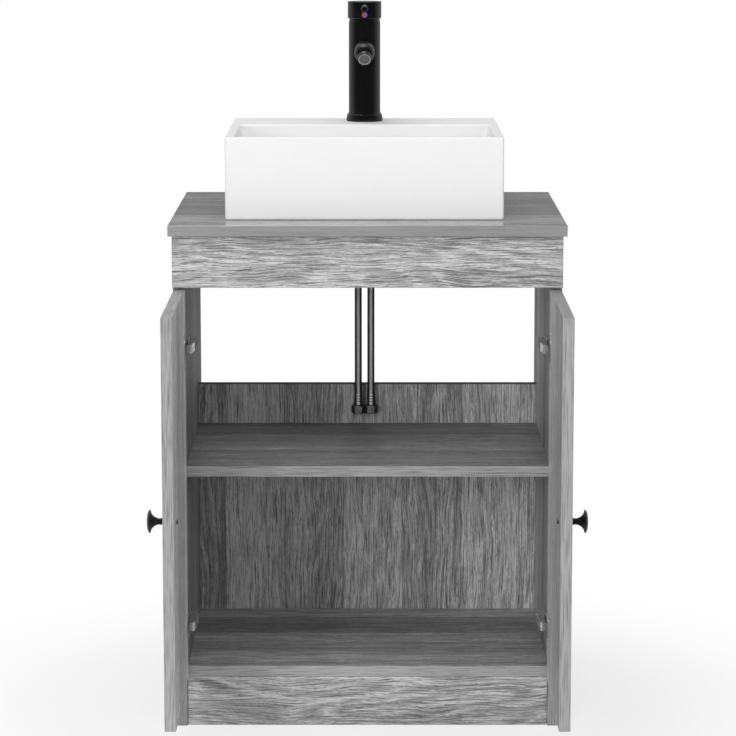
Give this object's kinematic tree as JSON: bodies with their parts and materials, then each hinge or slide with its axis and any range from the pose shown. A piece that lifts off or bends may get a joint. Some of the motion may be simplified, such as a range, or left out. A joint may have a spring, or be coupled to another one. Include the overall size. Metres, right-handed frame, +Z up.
{
  "type": "sink base cabinet",
  "caption": "Open-back bathroom cabinet in grey oak laminate with swing doors, shelves, a vessel basin and a single-lever tap with supply hoses.",
  "frame": {"origin": "centre of the bounding box at floor level, with the doors open at 90 degrees", "axes": "+Z up, +Y from the front towards the wall, +X to the right seen from the front"},
  "size_m": [0.616, 0.713, 1.065],
  "materials": {
    "oak_laminate": "satin",
    "dowel_beech": "matte",
    "zinc_plate": "satin",
    "knob_black": "satin",
    "basin_glaze": "gloss",
    "tap_black": "satin",
    "chrome_trim": "polished",
    "mesh_grey": "matte",
    "mark_colours": "gloss",
    "cartridge_plastic": "matte",
    "rubber_black": "matte",
    "hose_braid": "satin",
    "waste_plastic": "matte"
  },
  "bodies": {
    "cabinet": {"left_side": "oak_laminate", "right_side": "oak_laminate", "bottom_shelf": "oak_laminate", "middle_shelf": "oak_laminate", "back_panel": "oak_laminate", "kick_board": "oak_laminate", "rear_rail": "oak_laminate", "apron": "oak_laminate", "countertop": "oak_laminate", "dowels": "dowel_beech", "cam_bolts": "zinc_plate", "cam_nuts": "zinc_plate", "corner_brackets": "zinc_plate", "bracket_screws": "zinc_plate", "left_upper_hinge_arm": "zinc_plate", "left_lower_hinge_arm": "zinc_plate", "right_upper_hinge_arm": "zinc_plate", "right_lower_hinge_arm": "zinc_plate", "left_hinge_plates": "zinc_plate", "right_hinge_plates": "zinc_plate", "plate_screws": "zinc_plate", "arm_screws": "zinc_plate", "basin": "basin_glaze", "waste_body": "chrome_trim", "waste_nut": "waste_plastic", "tap_body": "tap_black", "tap_spout": "tap_black", "aerator_ring": "chrome_trim", "aerator_mesh": "mesh_grey", "cartridge": "cartridge_plastic", "cartridge_ring": "zinc_plate", "tap_gasket": "rubber_black", "tap_stud": "zinc_plate", "tap_washer": "zinc_plate", "tap_nut": "zinc_plate", "hot_hose": "hose_braid", "cold_hose": "hose_braid", "hose_ferrules": "zinc_plate", "hose_nuts": "zinc_plate"},
    "left_door_leaf": {"left_door": "oak_laminate", "left_knob": "knob_black", "left_knob_screw": "zinc_plate", "left_upper_hinge_cup": "zinc_plate", "left_lower_hinge_cup": "zinc_plate", "left_hinge_pins": "zinc_plate", "left_cup_screws": "zinc_plate"},
    "right_door_leaf": {"right_door": "oak_laminate", "right_knob": "knob_black", "right_knob_screw": "zinc_plate", "right_upper_hinge_cup": "zinc_plate", "right_lower_hinge_cup": "zinc_plate", "right_hinge_pins": "zinc_plate", "right_cup_screws": "zinc_plate"},
    "plug": {"waste_plug": "chrome_trim"},
    "handle_swivel": {"cartridge_collar": "cartridge_plastic"},
    "handle": {"handle_cap": "tap_black", "handle_lever": "tap_black", "temperature_dot": "mark_colours", "cartridge_spindle": "zinc_plate"}
  },
  "joints": [
    {"name": "right_door_swing", "type": "hinge", "parent": "cabinet", "child": "right_door_leaf", "pos_m": [0.27675, -0.08125, 0.365], "axis": [0, 0, 1], "range_deg": [-90, 5]},
    {"name": "left_door_swing", "type": "hinge", "parent": "cabinet", "child": "left_door_leaf", "pos_m": [-0.27675, -0.08125, 0.365], "axis": [0, 0, -1], "range_deg": [-90, 5]},
    {"name": "plug_lift", "type": "slide", "parent": "cabinet", "child": "plug", "axis": [0, 0, 1], "range_m": [0, 0.008]},
    {"name": "temperature_turn", "type": "hinge", "parent": "cabinet", "child": "handle_swivel", "pos_m": [-0.0047, 0.2655, 1.03], "axis": [0, 0, 1], "range_deg": [-45, 45]},
    {"name": "flow_lift", "type": "hinge", "parent": "handle_swivel", "child": "handle", "pos_m": [-0.0047, 0.2655, 1.03], "axis": [-1, 0, 0], "range_deg": [0, 20]}
  ]
}
